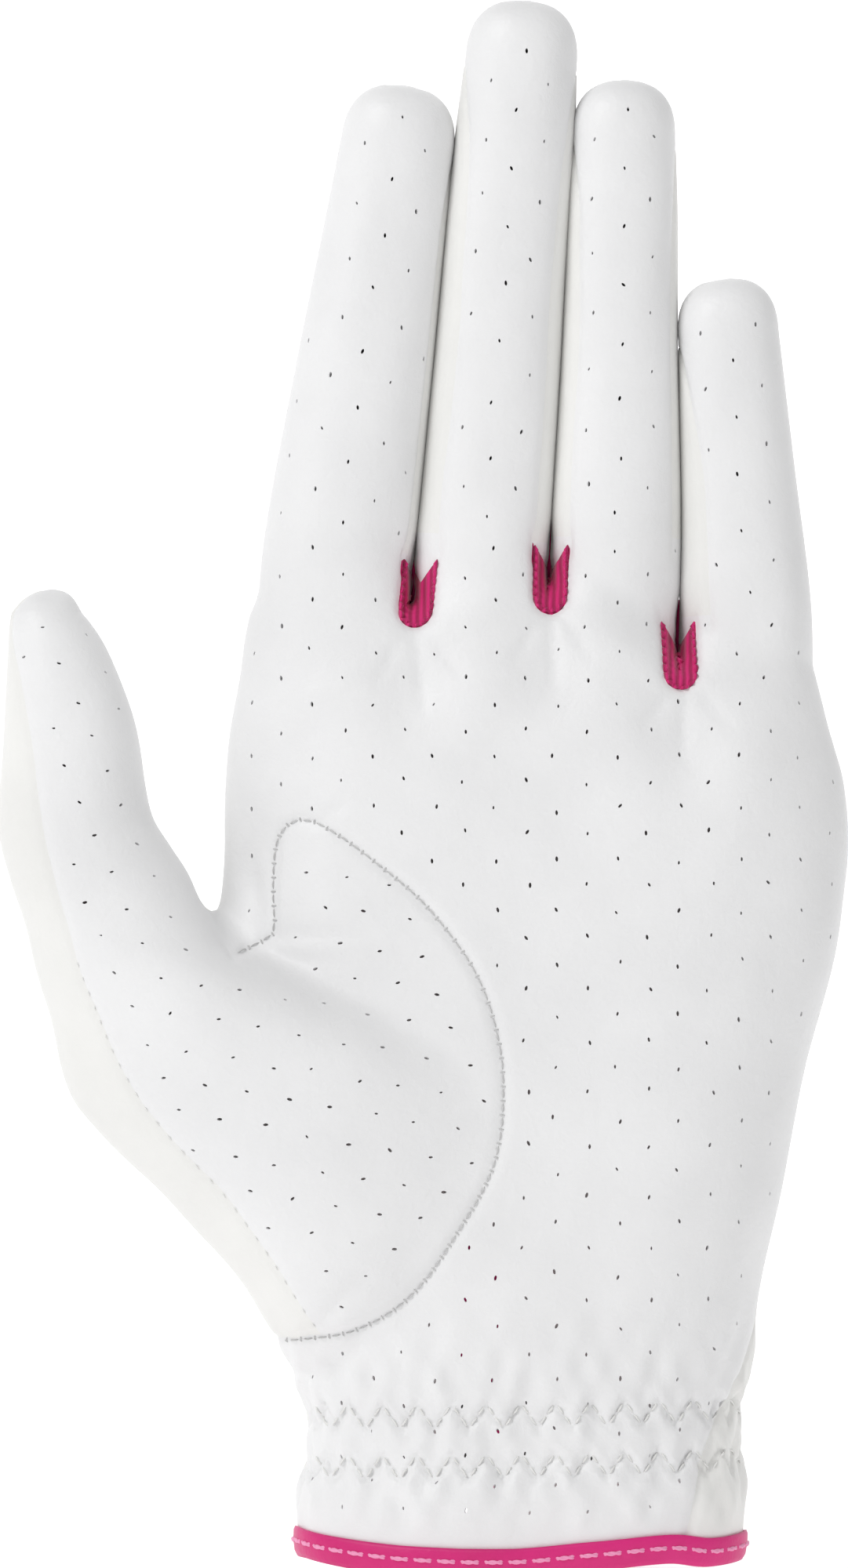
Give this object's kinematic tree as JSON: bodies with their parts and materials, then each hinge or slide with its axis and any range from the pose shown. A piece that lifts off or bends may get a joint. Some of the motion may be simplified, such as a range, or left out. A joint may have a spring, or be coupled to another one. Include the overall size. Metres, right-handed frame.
{
  "type": "golf glove",
  "caption": "Left-hand golf glove of perforated leather, filled out as if worn, with knit crotch gussets, a gathered cuff, a bound hem and a closure tab on the back.",
  "frame": {"origin": "middle of the wrist opening, at the hem", "axes": "+Z from the wrist to the fingertips, -Y out of the palm, -X towards the thumb"},
  "size_m": [0.1188, 0.0434, 0.2199],
  "materials": {
    "leather": "soft matt, perforated",
    "fourchette_leather": "soft matt, plain",
    "knit": "ribbed knit",
    "binding": "fine weave",
    "elastic": "woven elastic",
    "loop_pile": "looped pile",
    "hook_tape": "fine hooks",
    "white_thread": "twisted thread",
    "pink_thread": "twisted thread"
  },
  "bodies": {
    "hand": {"palm_panel": "leather", "back_panel": "leather", "thumb_panel_base": "leather", "thumb_back_base": "leather", "gusset_1": "knit", "gusset_2": "knit", "gusset_3": "knit", "cuff_binding": "binding", "slit_binding": "binding", "lower_elastic_tape": "elastic", "upper_elastic_tape": "elastic", "loop_patch": "loop_pile", "binding_stitching": "pink_thread", "lower_zigzag_stitching": "white_thread", "upper_zigzag_stitching": "white_thread", "thumb_seam_stitching": "white_thread"},
    "index_lower": {"index_front_lower": "leather", "index_back_lower": "leather", "index_outward_fourchette_lower": "fourchette_leather"},
    "index_upper": {"index_front_upper": "leather", "index_back_upper": "leather", "index_outward_fourchette_upper": "fourchette_leather"},
    "middle_lower": {"middle_front_lower": "leather", "middle_back_lower": "leather", "middle_thumbward_fourchette_lower": "fourchette_leather", "middle_outward_fourchette_lower": "fourchette_leather"},
    "middle_upper": {"middle_front_upper": "leather", "middle_back_upper": "leather", "middle_thumbward_fourchette_upper": "fourchette_leather", "middle_outward_fourchette_upper": "fourchette_leather"},
    "ring_lower": {"ring_front_lower": "leather", "ring_back_lower": "leather", "ring_thumbward_fourchette_lower": "fourchette_leather", "ring_outward_fourchette_lower": "fourchette_leather"},
    "ring_upper": {"ring_front_upper": "leather", "ring_back_upper": "leather", "ring_thumbward_fourchette_upper": "fourchette_leather", "ring_outward_fourchette_upper": "fourchette_leather"},
    "little_lower": {"little_front_lower": "leather", "little_back_lower": "leather", "little_thumbward_fourchette_lower": "fourchette_leather"},
    "little_upper": {"little_front_upper": "leather", "little_back_upper": "leather", "little_thumbward_fourchette_upper": "fourchette_leather"},
    "thumb_lower": {"thumb_front_lower": "leather", "thumb_back_lower": "leather"},
    "thumb_upper": {"thumb_front_upper": "leather", "thumb_back_upper": "leather"},
    "closure_tab": {"closure_tab": "leather", "hook_patch": "hook_tape", "tab_stitching": "white_thread"}
  },
  "joints": [
    {"name": "index_base", "type": "hinge", "parent": "hand", "child": "index_lower", "pos_m": [-0.0255, -0.0085, 0.1436], "axis": [0.989, 0, -0.1478], "range_deg": [0, 60]},
    {"name": "index_middle", "type": "hinge", "parent": "index_lower", "child": "index_upper", "pos_m": [-0.02195, -0.0076, 0.16734], "axis": [0.989, 0, -0.1478], "range_deg": [0, 85]},
    {"name": "middle_base", "type": "hinge", "parent": "hand", "child": "middle_lower", "pos_m": [-0.00505, -0.00715, 0.1445], "axis": [0.9969, 0, -0.0785], "range_deg": [0, 60]},
    {"name": "middle_middle", "type": "hinge", "parent": "middle_lower", "child": "middle_upper", "pos_m": [-0.00293, -0.0068, 0.17142], "axis": [0.9969, 0, -0.0785], "range_deg": [0, 85]},
    {"name": "ring_base", "type": "hinge", "parent": "hand", "child": "ring_lower", "pos_m": [0.0136, -0.00705, 0.1445], "axis": [0.9998, 0, -0.0175], "range_deg": [0, 60]},
    {"name": "ring_middle", "type": "hinge", "parent": "ring_lower", "child": "ring_upper", "pos_m": [0.01404, -0.0062, 0.1695], "axis": [0.9998, 0, -0.0175], "range_deg": [0, 85]},
    {"name": "little_base", "type": "hinge", "parent": "hand", "child": "little_lower", "pos_m": [0.032, -0.0071, 0.134], "axis": [0.9976, 0, 0.0698], "range_deg": [0, 60]},
    {"name": "little_middle", "type": "hinge", "parent": "little_lower", "child": "little_upper", "pos_m": [0.03068, -0.0061, 0.15295], "axis": [0.9976, 0, 0.0698], "range_deg": [0, 85]},
    {"name": "thumb_base", "type": "hinge", "parent": "hand", "child": "thumb_lower", "pos_m": [-0.05115, -0.01696, 0.09071], "axis": [0.8848, 0.4226, 0.1962], "range_deg": [0, 35]},
    {"name": "thumb_middle", "type": "hinge", "parent": "thumb_lower", "child": "thumb_upper", "pos_m": [-0.05554, -0.01542, 0.10715], "axis": [0.8848, 0.4226, 0.1962], "range_deg": [0, 60]},
    {"name": "tab_hinge", "type": "hinge", "parent": "hand", "child": "closure_tab", "pos_m": [-0.016, 0.0207, 0.0285], "axis": [0, 0, 1], "range_deg": [0, 140]}
  ]
}
